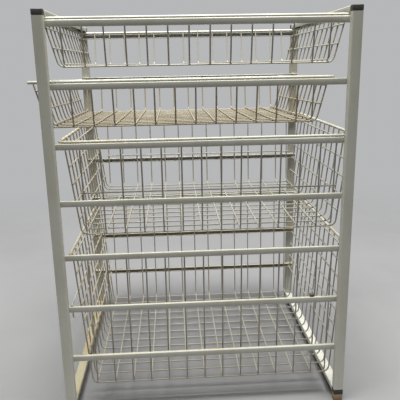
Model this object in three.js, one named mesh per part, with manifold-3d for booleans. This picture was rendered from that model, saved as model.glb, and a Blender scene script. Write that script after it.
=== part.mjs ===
// Free-standing wire-basket drawer unit: two side gables with seven pairs of runners,
// four crossbars, and four wire baskets that hang by their rims and slide along X.
// Millimetres, +Z up, X along the runners, Y from the near gable to the far one.
import * as THREE from 'three'
import { mergeVertices } from 'three/addons/utils/BufferGeometryUtils.js'
import Module from 'manifold-3d'

// ---- driving dimensions -------------------------------------------------------
const GABLE_LENGTH = 530, DEPTH = 450            // over the posts, X and Y
const CENTRE_X = 7.5                             // gables' middle in the part's frame
const POST_X = 18, POST_Y = 14, POST_WALL = 1.5
const PAD_H = 14, BLOCK_H = 10, POST_H = 696
const PITCH = 100, RUNNER_COUNT = 7
const RUNNER_H = 11, RUNNER_W = 7, SHEET = 1.5, LIP = 1, RUNNER_LENGTH = 528
const GAP = 0.3                                  // working gap between touching pieces
const SPIGOT = 22, TONGUE = 18

const RIM_D = 5.5, WIRE = 2.7                    // rim rod, and the side of a wire's section
const RIM_HALF_X = 257, RIM_HALF_Y = 206.45, RIM_CORNER = 12
const PANEL_HALF_X = 251.5, PANEL_HALF_Y = 201.8 // side panels where they leave the rim
const TAPER_X = 19.5, TAPER_Y = 14
const WIRES_ALONG_Y = 14, PITCH_X = 35, SHIFT_X = 3.5, LIMIT_X = 223.5
const WIRES_ALONG_X = 13, PITCH_Y = 31
const LAYER = 3.1, INSIDE = 3.4, RING_DROP = 14, ROW = 31.5

const post_bottom = PAD_H + BLOCK_H
const post_top = post_bottom + POST_H
const runnerTop = n => post_bottom + POST_H - 6 - PITCH * (n - 1)

// Runner the basket hangs on, its height, its middle along X, rows of wire on its ends and sides.
// A rim that isn't on its ledge rides inside the channel, 8.5 lower: both rims of the fourth basket
// do (near_fall and far_fall), and only the far rim of the second one, which tilts it.
const BASKETS = [
  { name: 'basket_1', runner: 1, height: 80, x: -3, end_rows: 1, side_rows: 0, near_fall: 0, far_fall: 0 },
  { name: 'basket_2', runner: 2, height: 80, x: -29, end_rows: 1, side_rows: 0, near_fall: 0, far_fall: 8.5 },
  { name: 'basket_3', runner: 3, height: 175, x: 14, end_rows: 4, side_rows: 1, near_fall: 0, far_fall: 0 },
  { name: 'basket_4', runner: 5, height: 271.5, x: 14, end_rows: 6, side_rows: 0, near_fall: 8.5, far_fall: 8.5 },
]

// ---- materials ----------------------------------------------------------------
const paint = new THREE.MeshStandardMaterial({ name: 'cream_paint', color: 0xd9d5c8, roughness: 0.5 })
const wirePaint = new THREE.MeshStandardMaterial({ name: 'cream_coating', color: 0xdedacb, roughness: 0.45 })
const darkPlastic = new THREE.MeshStandardMaterial({ name: 'dark_plastic', color: 0x3a3a38, roughness: 0.6 })
const tanPlastic = new THREE.MeshStandardMaterial({ name: 'tan_plastic', color: 0xa98a68, roughness: 0.7 })

const group = new THREE.Group()
group.name = 'wire_basket_drawer_unit'
const wasm = await Module()
wasm.setup()

// ---- helpers --------------------------------------------------------------------
function clean(geometry) {
  geometry.deleteAttribute('normal')
  geometry.deleteAttribute('uv')
  return mergeVertices(geometry, 1e-4)
}

function solid(geometry) {
  const g = clean(geometry)
  return new wasm.Manifold(new wasm.Mesh({
    numProp: 3,
    vertProperties: new Float32Array(g.attributes.position.array),
    triVerts: new Uint32Array(g.index.array),
  }))
}

function geometryOf(manifold) {
  const mesh = manifold.getMesh()
  const g = new THREE.BufferGeometry()
  g.setAttribute('position', new THREE.BufferAttribute(new Float32Array(mesh.vertProperties), 3))
  g.setIndex(new THREE.BufferAttribute(new Uint32Array(mesh.triVerts), 1))
  return g
}

function add(name, geometry, material) {
  const g = geometry.index && !geometry.attributes.normal ? geometry : clean(geometry)
  g.computeVertexNormals()
  const mesh = new THREE.Mesh(g, material)
  mesh.name = name
  group.add(mesh)
}

function box(x0, x1, y0, y1, z0, z1) {
  return new THREE.BoxGeometry(x1 - x0, y1 - y0, z1 - z0)
    .translate((x0 + x1) / 2, (y0 + y1) / 2, (z0 + z1) / 2)
}

// a straight or bent bar of even section along a path, mitred at its bends
function bar(path, sides, across, closed = false) {
  const P = path.map(p => new THREE.Vector3(...p))
  const n = P.length
  const along = i => P[(i + 1) % n].clone().sub(P[i % n]).normalize()
  const d0 = along(0)
  const up = Math.abs(d0.z) > 0.9 ? new THREE.Vector3(1, 0, 0) : new THREE.Vector3(0, 0, 1)
  const u = new THREE.Vector3().crossVectors(up, d0).normalize()
  const v = new THREE.Vector3().crossVectors(d0, u)
  const r = sides === 4 ? across / Math.SQRT2 : across / 2 / Math.cos(Math.PI / sides)
  let ring = []
  const start = closed ? P[0].clone().add(P[1]).multiplyScalar(0.5) : P[0]
  for (let k = 0; k < sides; k++) {
    const a = 2 * Math.PI * (k + 0.5) / sides
    ring.push(start.clone().addScaledVector(u, r * Math.cos(a)).addScaledVector(v, r * Math.sin(a)))
  }
  const rings = closed ? [] : [ring]
  const first = closed ? 1 : 1
  const last = closed ? n : n - 1
  for (let i = first; i <= last; i++) {
    const before = along(i - 1)
    const bend = !closed && i === n - 1 ? before.clone() : before.clone().add(along(i)).normalize()
    const at = P[i % n]
    ring = ring.map(p => p.clone().addScaledVector(before, at.clone().sub(p).dot(bend) / before.dot(bend)))
    rings.push(ring)
  }
  const positions = [], index = []
  for (const one of rings) for (const p of one) positions.push(p.x, p.y, p.z)
  const m = rings.length
  const quads = closed ? m : m - 1
  for (let i = 0; i < quads; i++) {
    for (let k = 0; k < sides; k++) {
      const a = i * sides + k, b = i * sides + (k + 1) % sides
      const c = ((i + 1) % m) * sides + k, d = ((i + 1) % m) * sides + (k + 1) % sides
      index.push(a, b, d, a, d, c)
    }
  }
  if (!closed) {
    for (let k = 1; k < sides - 1; k++) {
      index.push(0, k + 1, k)
      const e = (m - 1) * sides
      index.push(e, e + k, e + k + 1)
    }
  }
  const g = new THREE.BufferGeometry()
  g.setAttribute('position', new THREE.Float32BufferAttribute(positions, 3))
  g.setIndex(index)
  return new wasm.Manifold(new wasm.Mesh({
    numProp: 3,
    vertProperties: new Float32Array(g.attributes.position.array),
    triVerts: new Uint32Array(g.index.array),
  }))
}

// ---- gables -------------------------------------------------------------------
const sidesX = [['left', -1], ['right', 1]]
const sidesY = [['near', -1], ['far', 1]]
const postX = s => CENTRE_X + s * (GABLE_LENGTH - POST_X) / 2
const postY = s => s * (DEPTH - POST_Y) / 2

for (const [nameY, sy] of sidesY) {
  for (const [nameX, sx] of sidesX) {
    const x = postX(sx), y = postY(sy), a = POST_X / 2, b = POST_Y / 2
    const outline = new THREE.Shape()
    outline.moveTo(-a, -b).lineTo(a, -b).lineTo(a, b).lineTo(-a, b).closePath()
    const hole = new THREE.Path()
    const ai = a - POST_WALL, bi = b - POST_WALL
    hole.moveTo(-ai, -bi).lineTo(-ai, bi).lineTo(ai, bi).lineTo(ai, -bi).closePath()
    outline.holes.push(hole)
    add(`post_${nameY}_${nameX}`,
      new THREE.ExtrudeGeometry(outline, { depth: POST_H, bevelEnabled: false }).translate(x, y, post_bottom), paint)
  }

  // runner: a rolled channel open to the inside, with a low lip along its outer edge
  for (let n = 1; n <= RUNNER_COUNT; n++) {
    const section = new THREE.Shape()
    const t = SHEET, h = RUNNER_H, w = RUNNER_W
    const points = [[0, -h], [0, -0.8], [0.8, 0], [t, 0], [t, -LIP], [w, -LIP], [w, -LIP - t],
      [t, -LIP - t], [t, -h + t], [w, -h + t], [w, -h]]
    points.forEach(([p, q], i) => (i ? section.lineTo(p, q) : section.moveTo(p, q)))
    section.closePath()
    const g = new THREE.ExtrudeGeometry(section, { depth: RUNNER_LENGTH, bevelEnabled: false })
    // section (inward, up, along) to the frame: the far gable's runner is turned half round Z
    g.rotateX(Math.PI / 2).rotateZ(Math.PI / 2)
    g.translate(-RUNNER_LENGTH / 2, 0, 0)
    if (sy > 0) g.rotateZ(Math.PI)
    g.translate(CENTRE_X, sy * (DEPTH / 2 - POST_Y - GAP), runnerTop(n))
    add(`runner_${nameY}_${n}`, g, paint)
  }
}

// ---- crossbars, corner blocks and feet -----------------------------------------------
const barLength = DEPTH - 2 * POST_Y - 2 * GAP
for (const [nameX, sx] of sidesX) {
  for (const [level, z] of [['top', post_top], ['bottom', PAD_H]]) {
    const a = POST_X / 2, h = BLOCK_H - 2 * GAP, t = SHEET
    const section = new THREE.Shape()
    const points = [[-a, 0], [-a, h], [a, h], [a, 0], [a - t, 0], [a - t, h - t], [-a + t, h - t], [-a + t, 0]]
    points.forEach(([p, q], i) => (i ? section.lineTo(p, q) : section.moveTo(p, q)))
    section.closePath()
    add(`crossbar_${level}_${nameX}`,
      new THREE.ExtrudeGeometry(section, { depth: barLength, bevelEnabled: false })
        .rotateX(Math.PI / 2).translate(postX(sx), barLength / 2, z + GAP), paint)
  }
  for (const [nameY, sy] of sidesY) {
    const x = postX(sx), y = postY(sy), a = POST_X / 2, b = POST_Y / 2
    const ai = a - POST_WALL - GAP, bi = b - POST_WALL - GAP
    const tongue = z => {
      const inner = -sy * (b + TONGUE)
      return solid(box(x - ai, x + ai, y + Math.min(0, inner), y + Math.max(0, inner), z + GAP, z + BLOCK_H - GAP - SHEET - GAP))
    }
    add(`corner_top_${nameY}_${nameX}`, geometryOf(
      solid(box(x - a, x + a, y - b, y + b, post_top + GAP, post_top + BLOCK_H))
        .add(solid(box(x - ai, x + ai, y - bi, y + bi, post_top - SPIGOT, post_top + 1)))
        .add(tongue(post_top))), darkPlastic)
    add(`corner_bottom_${nameY}_${nameX}`, geometryOf(
      solid(box(x - a, x + a, y - b, y + b, PAD_H, PAD_H + BLOCK_H - GAP))
        .add(solid(box(x - ai, x + ai, y - bi, y + bi, PAD_H + 5, PAD_H + BLOCK_H + SPIGOT)))
        .add(tongue(PAD_H))
        .subtract(solid(box(x - 4, x + 4, y - 4, y + 4, PAD_H - 1, PAD_H + 6)))), darkPlastic)
    add(`foot_${nameY}_${nameX}`, geometryOf(
      solid(box(x - 9, x + 9, y - 7, y + 7, 0, PAD_H - GAP))
        .add(solid(box(x - 3.7, x + 3.7, y - 3.7, y + 3.7, PAD_H - 2, PAD_H + 5.5)))), tanPlastic)
  }
}

// ---- stop wire behind the lowest basket, and the clip on its runner ---------------------
{
  const top = runnerTop(6), x = CENTRE_X - 243
  const reach = DEPTH / 2 - POST_Y - 2.2
  const leg = reach - 6.6
  const z = top + 1.6
  let wire = bar([[x, -reach, z], [x, reach, z]], 6, 3)
  for (const s of [-1, 1]) wire = wire.add(bar([[x, s * leg, z], [x, s * leg, z - 27]], 6, 3))
  add('stop_wire', geometryOf(wire), wirePaint)

  const edge = -(DEPTH / 2 - POST_Y - GAP)          // outer face of the near runner
  const cx = CENTRE_X + 202
  const g = GAP, w = RUNNER_W
  add('runner_clip', geometryOf(
    solid(box(cx - 4, cx + 4, edge + SHEET + g, edge + w + g + 1.5, top - LIP + g, top + 5))
      .add(solid(box(cx - 4, cx + 4, edge + w + g, edge + w + g + 1.5, top - 10, top + 2)))), darkPlastic)
}

// ---- baskets ----------------------------------------------------------------------
function basket({ name, runner, height, x, end_rows, side_rows, near_fall, far_fall }) {
  const rimZ = runnerTop(runner) - LIP + GAP + RIM_D / 2 - near_fall
  const rimY = RIM_HALF_Y - (near_fall ? 0.35 : 0)
  const bottom = rimZ + RIM_D / 2 - height
  const cx = CENTRE_X + x
  const low = bottom + WIRE / 2                 // wires along X
  const high = low + LAYER                      // wires along Y lie on them
  const drop = rimZ - low
  const inX = z => PANEL_HALF_X - TAPER_X * (rimZ - z) / drop
  const inY = z => PANEL_HALF_Y - TAPER_Y * (rimZ - z) / drop

  // rim rod, a closed loop with rounded corners
  const loop = []
  const X = RIM_HALF_X, Y = rimY, r = RIM_CORNER
  for (const [sx, sy, a0] of [[1, 1, 0], [-1, 1, 90], [-1, -1, 180], [1, -1, 270]]) {
    for (const a of [0, 45, 90]) {
      const t = (a0 + a) * Math.PI / 180
      loop.push([cx + sx * (X - r) + r * Math.cos(t), sy * (Y - r) + r * Math.sin(t), rimZ])
    }
  }
  // start the loop on its longest straight
  loop.push(loop.shift(), loop.shift())
  let body = bar(loop, 8, RIM_D, true)

  // U-shaped wires along Y: near panel, floor, far panel
  for (let k = 0; k < WIRES_ALONG_Y; k++) {
    const at = PITCH_X * (k - (WIRES_ALONG_Y - 1) / 2) + SHIFT_X
    const wx = cx + Math.max(-LIMIT_X, Math.min(LIMIT_X, at))
    const c = 6
    const side = s => [[wx, s * rimY, rimZ + 0.2], [wx, s * PANEL_HALF_Y, rimZ],
      [wx, s * inY(high + c), high + c], [wx, s * (inY(high) - c), high]]
    body = body.add(bar([...side(-1), ...side(1).reverse()], 4, WIRE))
  }
  // U-shaped wires along X: left end, floor, right end
  for (let k = 0; k < WIRES_ALONG_X; k++) {
    const wy = PITCH_Y * (k - (WIRES_ALONG_X - 1) / 2)
    const c = 2
    const side = s => [[cx + s * RIM_HALF_X, wy, rimZ + 0.2], [cx + s * (PANEL_HALF_X + 0.5), wy, rimZ],
      [cx + s * inX(low + c), wy, low + c], [cx + s * (inX(low) - c + 0.4), wy, low]]
    body = body.add(bar([...side(-1), ...side(1).reverse()], 4, WIRE))
  }
  // straight wires across the ends, just inside the upright wires, turned out at their own ends
  const lastY = PITCH_Y * (WIRES_ALONG_X - 1) / 2
  for (let row = 0; row <= end_rows; row++) {
    const z = rimZ + near_fall - RING_DROP - ROW * row
    for (const s of [-1, 1]) {
      const a = cx + s * inX(z), b = cx + s * (inX(z) - INSIDE)
      body = body.add(bar([[a, -lastY, z], [b, -lastY + 14, z], [b, lastY - 14, z], [a, lastY, z]], 4, WIRE))
    }
  }
  // a deep basket has one like them part way down each long side
  const firstX = -LIMIT_X, lastX = LIMIT_X
  for (let row = 1; row <= side_rows; row++) {
    const z = rimZ - RING_DROP - 79 * row
    for (const s of [-1, 1]) {
      const a = s * inY(z), b = s * (inY(z) - INSIDE)
      body = body.add(bar([[cx + firstX, a, z], [cx + firstX + 14, b, z], [cx + lastX - 14, b, z], [cx + lastX, a, z]], 4, WIRE))
    }
  }
  if (far_fall !== near_fall) {
    const tilt = -Math.asin((far_fall - near_fall) / (2 * RIM_HALF_Y)) * 180 / Math.PI
    body = body.translate([0, RIM_HALF_Y, -rimZ]).rotate([tilt, 0, 0]).translate([0, -RIM_HALF_Y - 0.25, rimZ])
  }
  add(name, geometryOf(body), wirePaint)
}
BASKETS.forEach(basket)

export default group
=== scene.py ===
"""Looks for the wire basket drawer unit: a welded frame, four pull-out baskets, aged cream paint.

Places come from the CAD boxes. X runs along the runners, Y from the near gable to the far one.
"""
import math
import random

import bmesh
import bpy
from mathutils import Euler, Matrix, Vector


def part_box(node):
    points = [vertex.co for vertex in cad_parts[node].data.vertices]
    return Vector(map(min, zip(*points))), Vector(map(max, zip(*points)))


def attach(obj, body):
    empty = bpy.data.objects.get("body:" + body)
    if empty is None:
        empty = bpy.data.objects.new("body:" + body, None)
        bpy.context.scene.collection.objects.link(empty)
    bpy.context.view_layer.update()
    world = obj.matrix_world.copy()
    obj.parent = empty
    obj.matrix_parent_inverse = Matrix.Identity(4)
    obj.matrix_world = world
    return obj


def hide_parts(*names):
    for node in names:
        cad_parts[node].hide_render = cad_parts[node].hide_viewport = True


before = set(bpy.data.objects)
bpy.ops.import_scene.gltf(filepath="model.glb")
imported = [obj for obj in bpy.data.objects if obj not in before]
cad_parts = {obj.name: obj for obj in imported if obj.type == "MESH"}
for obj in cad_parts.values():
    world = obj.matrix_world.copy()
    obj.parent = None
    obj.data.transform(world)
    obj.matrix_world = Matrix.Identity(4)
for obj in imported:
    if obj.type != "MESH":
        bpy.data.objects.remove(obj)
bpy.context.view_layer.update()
MM = 0.001
SEED = 7
rng = random.Random(SEED)
ENDS, SIDES, LEVELS = ("near", "far"), ("left", "right"), ("top", "bottom")
RUNNERS = range(1, 8)         # counted from the top

# ---------------------------------------------------------------- mesh helpers

SWEPT_SHARP, BLOCK_SHARP = 35, 40     # edges that turn more than this, in degrees, stay sharp
STRAIGHT = 1e-3               # a turn too slight to round, in radians
BEND_SHARE = 0.49             # the most of a straight that the bend at one of its ends may use
UPRIGHT = 0.9                 # a path steeper than this takes its first normal from X
DOME_WIDTH, DOME_RISE, DOME_TIP = 0.72, 0.26, 0.36    # a wire's cut end, in parts of its radius


def add(name, data):
    """A new object in the scene."""
    o = bpy.data.objects.new(name, data)
    bpy.context.scene.collection.objects.link(o)
    return o


def finish_mesh(mesh, material, sharp):
    mesh.shade_smooth()
    mesh.set_sharp_from_angle(angle=math.radians(sharp))
    mesh.materials.append(material)


def fillet(points, radius, steps, closed=False):
    """The polyline with each bend rounded to radius (one number, or one for each point)."""
    pts = [Vector(p) for p in points]
    n = len(pts)
    radii = radius if isinstance(radius, (list, tuple)) else [radius] * n
    out = []
    for i, p in enumerate(pts):
        if not closed and i in (0, n - 1):
            out.append(p)
            continue
        a, b = pts[i - 1], pts[(i + 1) % n]
        u, v = (a - p), (b - p)
        lu, lv = u.length, v.length
        u.normalize()
        v.normalize()
        turn = math.pi - u.angle(v)
        if turn < STRAIGHT or radii[i] <= 0:
            out.append(p)
            continue
        cut = min(radii[i] * math.tan(turn / 2), BEND_SHARE * lu, BEND_SHARE * lv)
        r = cut / math.tan(turn / 2)
        centre = p + (u + v).normalized() * (r / math.cos(turn / 2))
        s, e = p + u * cut - centre, p + v * cut - centre
        for k in range(steps + 1):
            out.append(centre + s.normalized().slerp(e.normalized(), k / steps) * r)
    return out


def outline(points, radius, steps):
    """A closed flat outline with rounded corners."""
    rounded = fillet([(a, b, 0) for a, b in points], radius, steps, closed=True)
    return [(p.x, p.y) for p in rounded]


class Shape:
    """Collects vertices and faces of one piece."""

    def __init__(self):
        self.verts, self.faces = [], []

    def tube(self, path, radius, sides, closed=False, wobble=0.0):
        """A round wire along path. It draws one random number for each point, wobble or not."""
        pts = [Vector(p) for p in path]
        n = len(pts)
        tangents = []
        for i in range(n):
            a = pts[i - 1] if (closed or i) else pts[0]
            b = pts[(i + 1) % n] if (closed or i < n - 1) else pts[-1]
            tangents.append((b - a).normalized())
        up = Vector((0, 0, 1)) if abs(tangents[0].z) < UPRIGHT else Vector((1, 0, 0))
        normal = (up - tangents[0] * up.dot(tangents[0])).normalized()
        rings = []
        for i in range(n):
            t = tangents[i]
            if i:
                normal = (normal - t * normal.dot(t)).normalized()
            side = t.cross(normal)
            r = radius * (1 + wobble * rng.uniform(-1, 1))
            ring = []
            for k in range(sides):
                a = 2 * math.pi * k / sides
                self.verts.append(pts[i] + normal * (r * math.cos(a)) + side * (r * math.sin(a)))
                ring.append(len(self.verts) - 1)
            rings.append(ring)
        for i in range(n if closed else n - 1):
            a, b = rings[i], rings[(i + 1) % n]
            for k in range(sides):
                m = (k + 1) % sides
                self.faces.append((a[k], a[m], b[m], b[k]))
        if not closed:
            self._dome(rings[0], pts[0], -tangents[0], radius, flip=True)
            self._dome(rings[-1], pts[-1], tangents[-1], radius, flip=False)

    def _dome(self, ring, at, direction, radius, flip):
        """A low dome over a wire's cut end."""
        sides = len(ring)
        inner = []
        for k in ring:
            p = self.verts[k]
            self.verts.append(at + (p - at) * DOME_WIDTH + direction * radius * DOME_RISE)
            inner.append(len(self.verts) - 1)
        self.verts.append(at + direction * radius * DOME_TIP)
        tip = len(self.verts) - 1
        for k in range(sides):
            m = (k + 1) % sides
            quad = (ring[k], ring[m], inner[m], inner[k])
            tri = (inner[k], inner[m], tip)
            self.faces.append(quad[::-1] if flip else quad)
            self.faces.append(tri[::-1] if flip else tri)

    def blob(self, centre, size, rings=4, sides=8):
        """A small ellipsoid: the run of paint or metal round a weld."""
        c, s = Vector(centre), Vector(size)
        base = len(self.verts)
        self.verts.append(c + Vector((0, 0, s.z)))
        for i in range(1, rings):
            a = math.pi * i / rings
            for k in range(sides):
                b = 2 * math.pi * k / sides
                self.verts.append(c + Vector((s.x * math.sin(a) * math.cos(b),
                                              s.y * math.sin(a) * math.sin(b),
                                              s.z * math.cos(a))))
        self.verts.append(c - Vector((0, 0, s.z)))
        last = len(self.verts) - 1
        for k in range(sides):
            m = (k + 1) % sides
            self.faces.append((base, base + 1 + k, base + 1 + m))
            for i in range(rings - 2):
                a = base + 1 + i * sides
                self.faces.append((a + k, a + sides + k, a + sides + m, a + m))
            a = base + 1 + (rings - 2) * sides
            self.faces.append((a + k, last, a + m))

    def prism(self, around, place, start, end, hole=None):
        """An outline, less one hole with as many points, swept straight from start to end.
        place(u, v, w) gives the point."""
        rows = []
        for loop in [around, hole] if hole else [around]:
            pair = []
            for w in (start, end):
                first = len(self.verts)
                self.verts.extend(place(u, v, w) for u, v in loop)
                pair.append(list(range(first, len(self.verts))))
            rows.append(pair)
        for low, high in rows:
            n = len(low)
            for k in range(n):
                m = (k + 1) % n
                self.faces.append((low[k], low[m], high[m], high[k]))
        for side in (0, 1):
            a = rows[0][side]
            if not hole:
                self.faces.append(tuple(a) if side else tuple(a[::-1]))
                continue
            b, n = rows[1][side], len(a)
            for k in range(n):
                m = (k + 1) % n
                quad = (a[k], a[m], b[m], b[k])
                self.faces.append(quad if side else quad[::-1])
        return self

    def object(self, name, material):
        mesh = bpy.data.meshes.new(name)
        mesh.from_pydata([tuple(v) for v in self.verts], [], self.faces)
        bm = bmesh.new()
        bm.from_mesh(mesh)
        bmesh.ops.recalc_face_normals(bm, faces=bm.faces)
        bm.to_mesh(mesh)
        bm.free()
        finish_mesh(mesh, material, SWEPT_SHARP)
        return add(name, mesh)


def rounded_box(name, lo, hi, radius, material, segments=3, edit=None):
    """A block with rounded edges."""
    bm = bmesh.new()
    bmesh.ops.create_cube(bm, size=1)
    lo, hi = Vector(lo), Vector(hi)
    for v in bm.verts:
        v.co = Vector((lo[i] + (v.co[i] + 0.5) * (hi[i] - lo[i]) for i in range(3)))
    bmesh.ops.bevel(bm, geom=bm.edges[:], offset=radius, segments=segments, profile=0.5,
                    affect="EDGES")
    if edit:
        edit(bm)
    mesh = bpy.data.meshes.new(name)
    bm.to_mesh(mesh)
    bm.free()
    finish_mesh(mesh, material, BLOCK_SHARP)
    return add(name, mesh)


def join(name, objects):
    """One piece from several meshes."""
    bm = bmesh.new()
    for o in objects:
        bm.from_mesh(o.data)
    mesh = objects[0].data.copy()
    mesh.name = name
    bm.to_mesh(mesh)
    bm.free()
    out = add(name, mesh)
    for o in objects:
        bpy.data.objects.remove(o)
    return out


# ---------------------------------------------------------------- materials

MIX_FACTOR, MIX_A, MIX_B, MIX_RESULT = 0, 6, 7, 2     # sockets of a mix node set to colours


class Nodes:
    """Short hand for building a material's nodes."""

    def __init__(self, name):
        self.material = bpy.data.materials.new(name)
        self.material.use_nodes = True
        self.tree = self.material.node_tree
        self.bsdf = self.tree.nodes["Principled BSDF"]
        self.place = self.new("ShaderNodeTexCoord").outputs["Object"]

    def new(self, kind, **values):
        node = self.tree.nodes.new(kind)
        for key, value in values.items():
            setattr(node, key, value)
        return node

    def link(self, a, b):
        self.tree.links.new(a, b)

    def scaled(self, scale):
        node = self.new("ShaderNodeMapping")
        node.inputs["Scale"].default_value = scale
        self.link(self.place, node.inputs["Vector"])
        return node.outputs["Vector"]

    def noise(self, scale, detail=4, rough=0.55, stretch=None, distortion=0.0):
        """Fractal noise. scale is about how many features there are in a metre."""
        node = self.new("ShaderNodeTexNoise")
        node.inputs["Scale"].default_value = scale
        node.inputs["Detail"].default_value = detail
        node.inputs["Roughness"].default_value = rough
        node.inputs["Distortion"].default_value = distortion
        self.link(self.scaled(stretch) if stretch else self.place, node.inputs["Vector"])
        return node.outputs["Fac"]

    def ramp(self, value, low, high, a=0.0, b=1.0):
        """value from low..high onto a..b, smoothly and clamped."""
        node = self.new("ShaderNodeMapRange", interpolation_type="SMOOTHSTEP")
        for key, v in (("From Min", low), ("From Max", high), ("To Min", a), ("To Max", b)):
            node.inputs[key].default_value = v
        self.link(value, node.inputs["Value"])
        return node.outputs["Result"]

    def math(self, operation, a, b):
        node = self.new("ShaderNodeMath", operation=operation)
        for i, v in enumerate((a, b)):
            if isinstance(v, (int, float)):
                node.inputs[i].default_value = v
            else:
                self.link(v, node.inputs[i])
        return node.outputs["Value"]

    def times(self, a, b):
        return self.math("MULTIPLY", a, b)

    def mix(self, factor, a, b):
        node = self.new("ShaderNodeMix", data_type="RGBA")
        for key, v in ((MIX_FACTOR, factor), (MIX_A, a), (MIX_B, b)):
            if isinstance(v, tuple):
                node.inputs[key].default_value = (*v, 1)
            else:
                self.link(v, node.inputs[key])
        return node.outputs[MIX_RESULT]

    def axis(self, name):
        node = self.new("ShaderNodeSeparateXYZ")
        self.link(self.place, node.inputs[0])
        return node.outputs[name]

    def facing_up(self):
        node = self.new("ShaderNodeSeparateXYZ")
        self.link(self.new("ShaderNodeNewGeometry").outputs["Normal"], node.inputs[0])
        return node.outputs["Z"]

    def bump(self, height, strength, distance):
        node = self.new("ShaderNodeBump")
        node.inputs["Strength"].default_value = strength
        node.inputs["Distance"].default_value = distance
        self.link(height, node.inputs["Height"])
        self.link(node.outputs["Normal"], self.bsdf.inputs["Normal"])


CREAM = (0.60, 0.60, 0.525)           # the frame's enamel
DULLED = (0.42, 0.405, 0.345)         # the baskets' coating
WORN = (0.37, 0.33, 0.24)             # the same, on the dirtiest basket
YELLOWED = (0.56, 0.49, 0.335)
YELLOWED_DEPTH = 0.9                  # yellowed patches are a little darker too
GRIME = (0.20, 0.165, 0.115)
STAIN = (0.25, 0.15, 0.065)
RUST = (0.17, 0.075, 0.03)
COAT, COAT_ROUGH = 0.12, 0.25
DUST, DUST_AMOUNT = (0.30, 0.28, 0.24), 0.35


def aged_paint(name, yellow, grime, rust, zone=None, roughness=0.42, base=CREAM, painted_shade=None):
    """Old enamel: yellowed in patches, dirty in streaks and specks, chipped to rust in spots.
    zone(nodes) returns a mask from 0 to 1 that says where the stains gather. The colour given
    for faces that don't look up is painted shade: a darker colour that stands in for shadow."""
    n = Nodes(name)
    patches = n.ramp(n.noise(11, 5, 0.6), 0.42, 0.72)
    streaks = n.ramp(n.noise(26, 6, 0.65, stretch=(1, 1, 0.25)), 0.45, 0.75)
    specks = n.ramp(n.noise(420, 3, 0.6), 0.60, 0.74)
    chips = n.ramp(n.noise(95, 6, 0.7, distortion=0.4), 0.675, 0.72)
    aged = tuple(YELLOWED_DEPTH * a * b / c for a, b, c in zip(YELLOWED, base, CREAM))
    colour = n.mix(n.times(patches, yellow), base, aged)
    # painted shade: faces that don't look up take the darker colour given for them
    if painted_shade:
        colour = n.mix(n.ramp(n.facing_up(), 0.35, 0.85), painted_shade, colour)
    colour = n.mix(n.times(streaks, grime * 0.5), colour, GRIME)
    colour = n.mix(n.times(specks, grime * 0.55), colour, GRIME)
    if zone:
        where = zone(n)
        broken = n.ramp(n.noise(70, 6, 0.65), 0.30, 0.62)
        colour = n.mix(n.times(where, n.times(broken, 0.85)), colour, YELLOWED)
        blots = n.ramp(n.noise(160, 5, 0.7), 0.52, 0.66)
        colour = n.mix(n.times(where, n.times(blots, 0.8)), colour, STAIN)
    colour = n.mix(n.times(chips, rust), colour, RUST)
    n.link(colour, n.bsdf.inputs["Base Color"])
    rough = n.ramp(n.noise(60, 5, 0.6), 0.3, 0.75, roughness - 0.06, roughness + 0.2)
    n.link(rough, n.bsdf.inputs["Roughness"])
    n.bsdf.inputs["Coat Weight"].default_value = COAT
    n.bsdf.inputs["Coat Roughness"].default_value = COAT_ROUGH
    grain = n.noise(900, 2, 0.5)
    height = n.math("SUBTRACT", n.times(grain, 0.5), n.times(chips, 0.6))
    n.bump(height, strength=0.25, distance=0.0002)
    return n.material


def band(axis, full, none):
    """A mask that is 1 at full and 0 at none along an axis, in metres in the part's frame."""
    def mask(n):
        at_low, at_high = (0.0, 1.0) if full > none else (1.0, 0.0)
        return n.ramp(n.axis(axis), min(full, none), max(full, none), at_low, at_high)
    return mask


def patchy(scale, low, high):
    """A mask that covers most of a piece, in patches."""
    return lambda n: n.ramp(n.noise(scale), low, high)


def plastic(name, colour, other, roughness, dust=DUST):
    """Moulded plastic: two tones, dust on the faces that look up, and scuffs."""
    n = Nodes(name)
    base = n.mix(n.ramp(n.noise(45, 5, 0.6), 0.35, 0.7), colour, other)
    up = n.ramp(n.facing_up(), 0.3, 1.0)
    settled = n.times(up, n.ramp(n.noise(220, 5, 0.7), 0.35, 0.7, 0, DUST_AMOUNT))
    scuffs = n.ramp(n.noise(130, 6, 0.75, stretch=(1, 1, 4)), 0.62, 0.74, 0, 0.5)
    base = n.mix(settled, base, dust)
    base = n.mix(scuffs, base, dust)
    n.link(base, n.bsdf.inputs["Base Color"])
    rough = n.ramp(n.noise(300, 4), 0.3, 0.7, roughness - 0.08, roughness + 0.12)
    n.link(rough, n.bsdf.inputs["Roughness"])
    n.bump(n.noise(1400, 3, 0.6), strength=0.3, distance=0.00015)
    return n.material


frame_paint = aged_paint("paint_frame", yellow=0.30, grime=0.30, rust=0.25)
bar_stained = aged_paint("paint_bar", yellow=1.0, grime=0.8, rust=0.8, base=(0.47, 0.42, 0.29))
ledge_stained = aged_paint("paint_ledge", yellow=0.4, grime=0.35, rust=0.4,
                           zone=band("Y", full=-0.2052, none=-0.2072))
# the right bottom crossbar's paint has a brighter base than the cream, a painted highlight where
# its top catches the light; it is also less yellowed and dirty
bar_painted_highlight = aged_paint("paint_painted_highlight", yellow=0.25, grime=0.2, rust=0.3, base=(0.74, 0.74, 0.68))
bead_paint = aged_paint("paint_stained", yellow=0.9, grime=0.7, rust=0.8,
                        zone=patchy(9, 0.2, 0.4))
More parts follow.
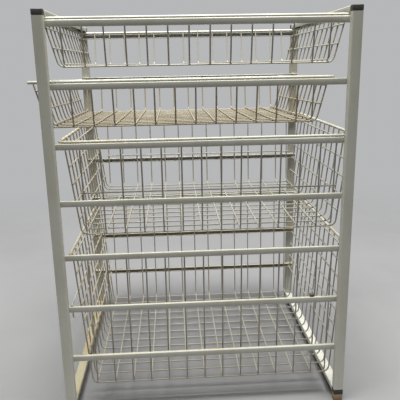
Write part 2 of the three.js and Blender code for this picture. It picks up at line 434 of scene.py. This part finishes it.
# the far runners get painted shade: faces that don't look up, such as the shadowed inside of the
# channel, take a darker colour
runner_far = aged_paint("paint_far", yellow=0.4, grime=0.4, rust=0.4, painted_shade=(0.33, 0.325, 0.295))
runner_far_low = aged_paint("paint_far_low", yellow=0.5, grime=0.4, rust=0.6,
                            painted_shade=(0.32, 0.27, 0.20), zone=band("X", full=0.262, none=0.225))
post_stained = aged_paint("paint_post", yellow=0.9, grime=0.5, rust=0.8,
                          zone=band("Z", full=0.70, none=0.56))
rim_clean = aged_paint("rim_1", yellow=0.5, grime=0.3, rust=0.5, roughness=0.34)
rim_stained = aged_paint("rim_2", yellow=0.9, grime=0.5, rust=0.7, roughness=0.38,
                         zone=band("X", full=-0.16, none=-0.06))
wire_clean = aged_paint("coating_1", yellow=0.5, grime=0.45, rust=0.3, roughness=0.38, base=DULLED)
wire_worn = aged_paint("coating_2", yellow=0.8, grime=0.8, rust=0.6, roughness=0.45, base=WORN)
wire_mid = aged_paint("coating_3", yellow=0.6, grime=0.55, rust=0.4, roughness=0.4, base=DULLED,
                      zone=band("X", full=-0.225, none=-0.19))
wire_low = aged_paint("coating_4", yellow=0.6, grime=0.55, rust=0.5, roughness=0.4, base=DULLED,
                      zone=band("X", full=-0.225, none=-0.16))
weld_rust = aged_paint("weld_paint", yellow=1.0, grime=1.2, rust=1.0, zone=patchy(30, 0.25, 0.5))
dark_plastic = plastic("dark_plastic", (0.022, 0.022, 0.021), (0.045, 0.044, 0.041), 0.5)
clip_plastic = plastic("clip_plastic", (0.055, 0.045, 0.032), (0.10, 0.075, 0.05), 0.55)
tan_plastic = plastic("tan_plastic", (0.36, 0.245, 0.14), (0.27, 0.18, 0.10), 0.62,
                      dust=(0.45, 0.36, 0.25))

# ---------------------------------------------------------------- frame


def put(o, body, nodes):
    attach(o, body)
    if nodes:
        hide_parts(*nodes)


def gable_posts(end):
    """The boxes of a gable's two posts, the left one first."""
    return [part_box(f"post_{end}_{side}") for side in SIDES]


# posts: rectangular tube
SHEET = 1.5 * MM              # the wall of the posts and the crossbars
POST_BEND, POST_BEND_INSIDE = 1.9 * MM, 0.6 * MM


def rectangle(lo, hi, inset, bend):
    """A post's outline, or the outline of its hollow."""
    x0, x1, y0, y1 = lo.x + inset, hi.x - inset, lo.y + inset, hi.y - inset
    return outline([(x0, y0), (x1, y0), (x1, y1), (x0, y1)], bend, steps=4)


for end in ENDS:
    for side in SIDES:
        node = f"post_{end}_{side}"
        lo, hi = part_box(node)
        post = Shape().prism(rectangle(lo, hi, 0, POST_BEND), lambda u, v, w: Vector((u, v, w)),
                             lo.z, hi.z, hole=rectangle(lo, hi, SHEET, POST_BEND_INSIDE))
        finish = post_stained if (end, side) == ("far", "right") else frame_paint
        put(post.object(node + "_tube", finish), "frame", [node])

# runners: a channel that opens inwards, with a small lip along the back of its ledge.
# In mm, the first number inwards from the channel's back and the second up from the lip's top.
RUNNER = [(0, -11), (0, -1.1), (0.8, 0), (1.5, -0.3), (1.5, -1.0), (7.0, -1.0), (7.0, -2.5),
          (1.5, -2.5), (1.5, -9.5), (7.0, -9.5), (7.0, -11)]
RUNNER_RADII = [1.0, 1.4, 0.45, 0.35, 0.35, 0.55, 0.55, 0.5, 0.5, 0.55, 0.55]
STAINED_NEAR, STAINED_FAR = 5, 6      # stained from this runner down


def runner(node, end, material):
    lo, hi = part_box(node)
    section = outline([(a * MM, b * MM) for a, b in RUNNER], [r * MM for r in RUNNER_RADII],
                      steps=3)
    y, s = (lo.y, 1) if end == "near" else (hi.y, -1)
    shape = Shape().prism(section, lambda u, v, w: Vector((w, y + s * u, hi.z + v)), lo.x, hi.x)
    put(shape.object(node + "_channel", material), "frame", [node])


for k in RUNNERS:
    runner(f"runner_near_{k}", "near", ledge_stained if k >= STAINED_NEAR else frame_paint)
for k in RUNNERS:
    runner(f"runner_far_{k}", "far", runner_far_low if k >= STAINED_FAR else runner_far)

# weld beads where each runner crosses a post's inner face
BEAD_R, BEAD_SIDES, BEAD_WOBBLE = 1.15 * MM, 8, 0.16
BEAD_STEPS, BEAD_INSET, BEAD_BELOW_TOP = 8, 2 * MM, 0.1 * MM
BEAD_DEPTH, BEAD_WANDER = (0.1, 0.45), 0.3            # mm, off the post and up or down
for end in ENDS:
    beads = Shape()
    for plo, phi in gable_posts(end):
        y, inward = (phi.y, 1) if end == "near" else (plo.y, -1)
        for k in RUNNERS:
            rlo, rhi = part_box(f"runner_{end}_{k}")
            for z in (rhi.z - BEAD_BELOW_TOP, rlo.z):
                path = []
                for i in range(BEAD_STEPS + 1):
                    x = plo.x + BEAD_INSET + (phi.x - plo.x - 2 * BEAD_INSET) * i / BEAD_STEPS
                    path.append((x, y + inward * rng.uniform(*BEAD_DEPTH) * MM,
                                 z + rng.uniform(-BEAD_WANDER, BEAD_WANDER) * MM))
                beads.tube(path, BEAD_R, BEAD_SIDES, wobble=BEAD_WOBBLE)
    put(beads.object(f"weld_beads_{end}", bead_paint), "frame", [])

# crossbars: an inverted channel
BAR_EDGE, BAR_BEND, BAR_BEND_INSIDE = 0.5 * MM, 1.7 * MM, 0.7 * MM
BAR_RADII = [BAR_EDGE, BAR_BEND, BAR_BEND, BAR_EDGE,
             BAR_EDGE, BAR_BEND_INSIDE, BAR_BEND_INSIDE, BAR_EDGE]
# the right bottom bar takes the brighter paint, a painted highlight
BAR_PAINT = {("bottom", "left"): bar_stained, ("bottom", "right"): bar_painted_highlight}
for level in LEVELS:
    for side in SIDES:
        node = f"crossbar_{level}_{side}"
        lo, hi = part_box(node)
        x0, x1, under_top = lo.x + SHEET, hi.x - SHEET, hi.z - SHEET
        pts = [(lo.x, lo.z), (lo.x, hi.z), (hi.x, hi.z), (hi.x, lo.z),
               (x1, lo.z), (x1, under_top), (x0, under_top), (x0, lo.z)]
        shape = Shape().prism(outline(pts, BAR_RADII, steps=4),
                              lambda u, v, w: Vector((u, w, v)), lo.y, hi.y)
        material = BAR_PAINT.get((level, side), frame_paint)
        put(shape.object(node + "_bar", material), "frame", [node])

# corner blocks: a moulded cap with a spigot in the post and a tongue in the crossbar
GAP = 0.3 * MM                # between a post's end and its corner block
CAP_BEND, PLUG_BEND, PLUG_SEGMENTS = 1.3 * MM, 0.8 * MM, 2
PLUG_INSET = 1.9 * MM         # from the post's outside to the spigot and the tongue
SPIGOT_ROOT, TONGUE_ROOT = 1.5 * MM, 2 * MM           # their reach into the cap
TONGUE_UP, TONGUE_DOWN = 0.4 * MM, 2.6 * MM           # from the cap's underside and from its top


def plug(name, lo, hi):
    return rounded_box(name, lo, hi, PLUG_BEND, dark_plastic, PLUG_SEGMENTS)


for level in LEVELS:
    for end in ENDS:
        for side, (plo, phi) in zip(SIDES, gable_posts(end)):
            node = f"corner_{level}_{end}_{side}"
            lo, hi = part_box(node)
            x0, x1 = plo.x + PLUG_INSET, phi.x - PLUG_INSET
            y0, y1 = plo.y + PLUG_INSET, phi.y - PLUG_INSET
            if level == "top":
                z0, z1 = phi.z + GAP, hi.z
                spigot_z0, spigot_z1 = lo.z, z0 + SPIGOT_ROOT
            else:
                z0, z1 = lo.z, plo.z - GAP
                spigot_z0, spigot_z1 = z1 - SPIGOT_ROOT, hi.z
            if end == "near":
                tongue_y0, tongue_y1 = phi.y - TONGUE_ROOT, hi.y
            else:
                tongue_y0, tongue_y1 = lo.y, plo.y + TONGUE_ROOT
            parts = [
                rounded_box("cap", (plo.x, plo.y, z0), (phi.x, phi.y, z1), CAP_BEND, dark_plastic),
                plug("spigot", (x0, y0, spigot_z0), (x1, y1, spigot_z1)),
                plug("tongue", (x0, tongue_y0, z0 + TONGUE_UP), (x1, tongue_y1, z1 - TONGUE_DOWN)),
            ]
            put(join(node + "_moulding", parts), "frame", [node])

# feet: a pad that narrows slightly towards the floor, and a stem in the corner block
PAD_HEIGHT, PAD_BEND, PAD_SEGMENTS, PAD_TAPER = 13.7 * MM, 1.6 * MM, 4, 0.07
STEM_INSET_X, STEM_INSET_Y, STEM_ROOT = 5.5 * MM, 3.5 * MM, 2 * MM
for end in ENDS:
    for side in SIDES:
        node = f"foot_{end}_{side}"
        lo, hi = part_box(node)
        top = lo.z + PAD_HEIGHT

        def flare(bm, lo=lo, hi=hi, top=top):
            for v in bm.verts:
                t = (top - v.co.z) / (top - lo.z)
                for i in (0, 1):
                    mid = (lo[i] + hi[i]) / 2
                    v.co[i] = mid + (v.co[i] - mid) * (1 - PAD_TAPER * t)

        pad = rounded_box("pad", (lo.x, lo.y, lo.z), (hi.x, hi.y, top), PAD_BEND, tan_plastic,
                          PAD_SEGMENTS, flare)
        stem = rounded_box("stem", (lo.x + STEM_INSET_X, lo.y + STEM_INSET_Y, top - STEM_ROOT),
                           (hi.x - STEM_INSET_X, hi.y - STEM_INSET_Y, hi.z), PLUG_BEND,
                           tan_plastic, PLUG_SEGMENTS)
        put(join(node + "_pad", [pad, stem]), "frame", [node])

# stop wire: a straight wire from gable to gable, with a bent leg near each end
STOP_R, STOP_SIDES, STOP_STEPS = 1.5 * MM, 12, 24
LEG_IN, LEG_RUN, LEG_RISE, LEG_FOOT, LEG_BEND = 6.6 * MM, 9 * MM, 0.2 * MM, 1 * MM, 3 * MM
lo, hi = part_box("stop_wire")
x, top = (lo.x + hi.x) / 2, hi.z - STOP_R
stop = Shape()
stop.tube([(x, lo.y + (hi.y - lo.y) * i / STOP_STEPS, top) for i in range(STOP_STEPS + 1)],
          STOP_R, STOP_SIDES)
for s in (-1, 1):
    y = s * (hi.y - LEG_IN)
    leg = [(x, y - s * LEG_RUN, top + LEG_RISE), (x, y, top), (x, y, lo.z + LEG_FOOT)]
    stop.tube(fillet(leg, LEG_BEND, steps=5), STOP_R, STOP_SIDES)
put(stop.object("stop_wire_round", rim_clean), "frame", ["stop_wire"])

# the clip that hangs on a runner: a head and a thinner leg
CLIP_HEAD, CLIP_HEAD_BEND = 5.7 * MM, 1.4 * MM
CLIP_LEG, CLIP_LEG_INSET, CLIP_LEG_BEND, CLIP_LEG_ROOT = 1.5 * MM, 0.6 * MM, 0.6 * MM, 2 * MM
lo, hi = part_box("runner_clip")
parts = [
    rounded_box("clip_head", (lo.x, lo.y, hi.z - CLIP_HEAD), (hi.x, hi.y, hi.z),
                CLIP_HEAD_BEND, clip_plastic, segments=4),
    rounded_box("clip_leg", (lo.x + CLIP_LEG_INSET, hi.y - CLIP_LEG, lo.z),
                (hi.x - CLIP_LEG_INSET, hi.y, hi.z - CLIP_LEG_ROOT), CLIP_LEG_BEND,
                clip_plastic),
]
put(join("runner_clip_moulding", parts), "frame", ["runner_clip"])

# ---------------------------------------------------------------- baskets

RIM_R, WIRE_R = 2.75 * MM, 1.4 * MM
RIM_SIDES, WIRE_SIDES = 16, 10
RIM_X, RIM_Y = 257 * MM, 206.45 * MM  # half sizes, to the middle of the rim rod
RIM_CORNER = 13 * MM
RIM_OVER_RUNNER = 2.05 * MM   # the rod's middle over the runner's lip, for a rim on its ledge
FALLEN_IN = 0.35 * MM         # both sides' rims move in by this if the near one has fallen
PANEL_X, PANEL_Y = 252.8 * MM, 202.25 * MM            # half sizes of the wire panels at the rim
TAPER_X, TAPER_Y = 20.5 * MM, 14.3 * MM               # how much each side draws in by the floor
COUNT_X, COUNT_Y = 14, 13     # wires side by side along X and along Y
PITCH_X, PITCH_Y, SHIFT_X, LIMIT_X = 35 * MM, 31 * MM, 3.5 * MM, 223.5 * MM
CROSS = 2.6 * MM              # between the middles of two wires welded where they cross
END_LIFT = 1.6 * MM           # the outermost wires stand on the others' bends
WIRE_TOP = 1.3 * MM           # a wire's cut end over the rod's middle
BEND_X, BEND_Y = 12 * MM, 8 * MM
RING_DROP, ROW, SIDE_ROW = 14 * MM, 31.5 * MM, 79 * MM
ROW_PAST_Y, ROW_PAST_X = 4 * MM, 5 * MM       # a straight wire past the outermost upright one
WELD, WELD_THIN, WELD_FLOOR = 2.0 * MM, 1.1 * MM, 1.1 * MM
RIM_WELD_LONG, RIM_WELD_WIDE, RIM_WELD_TALL = 2.9 * MM, 1.9 * MM, 2.3 * MM
RIM_WELD_IN, RIM_WELD_DROP = 0.3 * MM, 0.6 * MM
SLIP = Vector((0, -0.25 * MM, 0))     # a tilted basket has slipped towards the near gable
SPLIT_STEP = 0.05             # metres between the points of a long straight
WANDER, WAVE_X, WAVE_Y, FULL_TURN = 0.3 * MM, 6.2, 4.6, 6.28


def split(path):
    """Extra points on long straights, so that a wire can be very slightly out of true."""
    out = [Vector(path[0])]
    for a, b in zip(path, path[1:]):
        a, b = Vector(a), Vector(b)
        n = max(1, int((b - a).length / SPLIT_STEP))
        out.extend(a.lerp(b, (i + 1) / n) for i in range(n))
    return out


def true_ish(path):
    """The path, bowed sideways by less than WANDER and unmoved at its ends."""
    phase, size = rng.uniform(0, FULL_TURN), rng.uniform(0.3, 1) * WANDER
    n = len(path)
    out = []
    for i, p in enumerate(path):
        bow = Vector((math.sin(WAVE_X * i / n + phase), math.cos(WAVE_Y * i / n + phase), 0))
        out.append(p + bow * size * math.sin(math.pi * i / (n - 1)))
    return out


def basket(node, runner_number, height, end_rows, side_rows, rim_finish, wire_finish,
           near_fall=0.0, far_fall=0.0):
    """The wire basket that hangs on a pair of runners. end_rows counts the straight wires across
    each end below the first one, and side_rows those along each long side. near_fall and far_fall
    say how far its rims have dropped from the ledges into the channels."""
    lo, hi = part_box(node)
    cx = (lo.x + hi.x) / 2
    rim_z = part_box(f"runner_near_{runner_number}")[1].z + RIM_OVER_RUNNER - near_fall
    rim_y = RIM_Y - (FALLEN_IN if near_fall else 0)
    low = rim_z + RIM_R - height + WIRE_R
    high, drop = low + CROSS, rim_z - low
    tilt = Matrix.Rotation(-math.asin((far_fall - near_fall) / (2 * RIM_Y)), 3, "X")
    pivot = Vector((0, -RIM_Y, rim_z))

    def put_piece(shape, name, finish, nodes):
        if far_fall != near_fall:
            shape.verts = [tilt @ (v - pivot) + pivot + SLIP for v in shape.verts]
        put(shape.object(node + name, finish), node, nodes)

    def in_x(z):
        return PANEL_X - TAPER_X * (rim_z - z) / drop

    def in_y(z):
        return PANEL_Y - TAPER_Y * (rim_z - z) / drop

    def wire(path):
        mesh.tube(true_ish(split(path)), WIRE_R, WIRE_SIDES)

    rim = Shape()
    corners = [(cx + a * RIM_X, b * rim_y, rim_z) for a, b in ((1, -1), (1, 1), (-1, 1), (-1, -1))]
    rim.tube(fillet(corners, RIM_CORNER, steps=8, closed=True), RIM_R, RIM_SIDES, closed=True)
    put_piece(rim, "_rim", rim_finish, [node])

    mesh, welds, rim_welds = Shape(), Shape(), Shape()
    xs = [max(-LIMIT_X, min(LIMIT_X, PITCH_X * (k - (COUNT_X - 1) / 2) + SHIFT_X))
          for k in range(COUNT_X)]
    ys = [PITCH_Y * (k - (COUNT_Y - 1) / 2) for k in range(COUNT_Y)]
    rim_weld_z = rim_z - RIM_WELD_DROP
    # bent wires that run down one long side, across the floor and up the other
    for x in xs:
        z = high + (END_LIFT if abs(x) > LIMIT_X - 1 * MM else 0)
        half = [(cx + x, PANEL_Y, rim_z + WIRE_TOP), (cx + x, in_y(z), z)]
        wire(fillet([(a, -b, c) for a, b, c in half] + half[::-1], BEND_Y, steps=6))
        for s in (-1, 1):
            rim_welds.blob((cx + x, s * (rim_y - RIM_WELD_IN), rim_weld_z),
                           (RIM_WELD_WIDE, RIM_WELD_LONG, RIM_WELD_TALL))
    # bent wires from end to end, under the others, welded to each where they cross
    for y in ys:
        half = [(PANEL_X, y, rim_z + WIRE_TOP), (in_x(low), y, low)]
        path = [(cx - a, b, c) for a, b, c in half] + [(cx + a, b, c) for a, b, c in half[::-1]]
        wire(fillet(path, BEND_X, steps=7))
        for s in (-1, 1):
            rim_welds.blob((cx + s * (RIM_X - RIM_WELD_IN), y, rim_weld_z),
                           (RIM_WELD_LONG, RIM_WELD_WIDE, RIM_WELD_TALL))
        for x in xs:
            welds.blob((cx + x, y, (low + high) / 2), (WELD, WELD, WELD_FLOOR))
    # straight wires across the ends and along the sides, just inside the upright ones
    for s in (-1, 1):
        for row in range(end_rows + 1):
            z = rim_z + near_fall - RING_DROP - ROW * row
            x = cx + s * (in_x(z) - CROSS)
            wire([(x, ys[0] - ROW_PAST_Y, z), (x, ys[-1] + ROW_PAST_Y, z)])
            for y in ys:
                welds.blob((x + s * CROSS / 2, y, z), (WELD_THIN, WELD, WELD))
        for row in range(1, side_rows + 1):
            z = rim_z - RING_DROP - SIDE_ROW * row
            y = s * (in_y(z) - CROSS)
            wire([(cx - LIMIT_X - ROW_PAST_X, y, z), (cx + LIMIT_X + ROW_PAST_X, y, z)])
            for x in xs:
                welds.blob((cx + x, y + s * CROSS / 2, z), (WELD, WELD_THIN, WELD))
    put_piece(mesh, "_wires", wire_finish, [])
    put_piece(welds, "_welds", wire_finish, [])
    put_piece(rim_welds, "_rim_welds", weld_rust, [])


FALL = 8.5 * MM               # from a runner's ledge to the floor of its channel
basket("basket_1", runner_number=1, height=80 * MM, end_rows=1, side_rows=0,
       rim_finish=rim_clean, wire_finish=wire_clean)
basket("basket_2", runner_number=2, height=80 * MM, end_rows=1, side_rows=0,
       rim_finish=rim_clean, wire_finish=wire_worn, far_fall=FALL)
basket("basket_3", runner_number=3, height=175 * MM, end_rows=4, side_rows=1,
       rim_finish=rim_stained, wire_finish=wire_mid)
basket("basket_4", runner_number=5, height=271.5 * MM, end_rows=6, side_rows=0,
       rim_finish=rim_stained, wire_finish=wire_low, near_fall=FALL, far_fall=FALL)

# ---------------------------------------------------------------- stage

# the camera and reflections see a grey room, and everything else gets a dim fill
ROOM, FILL, FILL_STRENGTH = (0.47, 0.475, 0.48, 1), (0.95, 0.98, 1.0, 1), 0.055
world = bpy.data.worlds.new("studio")
bpy.context.scene.world = world
world.use_nodes = True
wt = world.node_tree
wt.nodes.clear()
out = wt.nodes.new("ShaderNodeOutputWorld")
seen, light = wt.nodes.new("ShaderNodeBackground"), wt.nodes.new("ShaderNodeBackground")
choose, path = wt.nodes.new("ShaderNodeMixShader"), wt.nodes.new("ShaderNodeLightPath")
seen.inputs["Color"].default_value = ROOM
seen.inputs["Strength"].default_value = 1.0
light.inputs["Color"].default_value = FILL
light.inputs["Strength"].default_value = FILL_STRENGTH
either = wt.nodes.new("ShaderNodeMath")
either.operation = "MAXIMUM"
wt.links.new(path.outputs["Is Camera Ray"], either.inputs[0])
wt.links.new(path.outputs["Is Glossy Ray"], either.inputs[1])
wt.links.new(either.outputs[0], choose.inputs[0])
wt.links.new(light.outputs[0], choose.inputs[1])
wt.links.new(seen.outputs[0], choose.inputs[2])
wt.links.new(choose.outputs[0], out.inputs[0])

# one large soft light overhead, a little in front
LAMP_AT, LAMP_TO, LAMP_SIZE = (0.0, -0.48, 5.0), (0.0, 0, 0.3), (3.0, 1.3)
LAMP_WATTS, LAMP_COLOUR = 600, (1.0, 0.995, 0.97)
lamp = bpy.data.lights.new("ceiling", "AREA")
lamp.shape, lamp.size, lamp.size_y = "RECTANGLE", *LAMP_SIZE
lamp.energy, lamp.color = LAMP_WATTS, LAMP_COLOUR
lamp_object = add("ceiling", lamp)
lamp_object.location = LAMP_AT
aim = Vector(LAMP_TO) - Vector(LAMP_AT)
lamp_object.rotation_euler = aim.to_track_quat("-Z", "Y").to_euler()
bpy.context.scene.view_settings.view_transform = "Standard"

# a pale floor that fades out into the room
FLOOR_HALF, FLOOR_DROP, FLOOR_ROUGH = 4.0, 0.0002, 0.65
FLOOR_DARK, FLOOR_LIGHT = (0.205, 0.205, 0.21), (0.225, 0.225, 0.23)
FADE_FROM, FADE_TO = 0.55, 1.9        # metres from the middle
floor_mesh = bpy.data.meshes.new("floor")
floor_mesh.from_pydata([(a * FLOOR_HALF, b * FLOOR_HALF, 0)
                        for a, b in ((-1, -1), (1, -1), (1, 1), (-1, 1))], [], [(0, 1, 2, 3)])
floor = add("floor", floor_mesh)
floor.location.z = -FLOOR_DROP
nf = Nodes("floor")
tint = nf.mix(nf.ramp(nf.noise(3.0, 3), 0.3, 0.7), FLOOR_DARK, FLOOR_LIGHT)
nf.link(tint, nf.bsdf.inputs["Base Color"])
nf.bsdf.inputs["Roughness"].default_value = FLOOR_ROUGH
distance = nf.new("ShaderNodeVectorMath", operation="LENGTH")
nf.link(nf.place, distance.inputs[0])
fade = nf.new("ShaderNodeMixShader")
clear = nf.new("ShaderNodeBsdfTransparent")
nf.link(nf.ramp(distance.outputs["Value"], FADE_FROM, FADE_TO), fade.inputs[0])
nf.link(nf.bsdf.outputs[0], fade.inputs[1])
nf.link(clear.outputs[0], fade.inputs[2])
nf.link(fade.outputs[0], nf.tree.nodes["Material Output"].inputs["Surface"])
floor_mesh.materials.append(nf.material)

CAMERA_AT = (-0.0419, -1.0802, 0.6409)
CAMERA_TURN = (76.2, 1.044, -3.214)   # degrees
camera = bpy.data.cameras.new("camera")
camera.sensor_width = 36
camera.lens = 46.13
camera.shift_y = -0.0252
camera.clip_end = 50
cam = add("camera", camera)
cam.location = CAMERA_AT
cam.rotation_euler = Euler([math.radians(a) for a in CAMERA_TURN], "XYZ")
bpy.context.scene.camera = cam
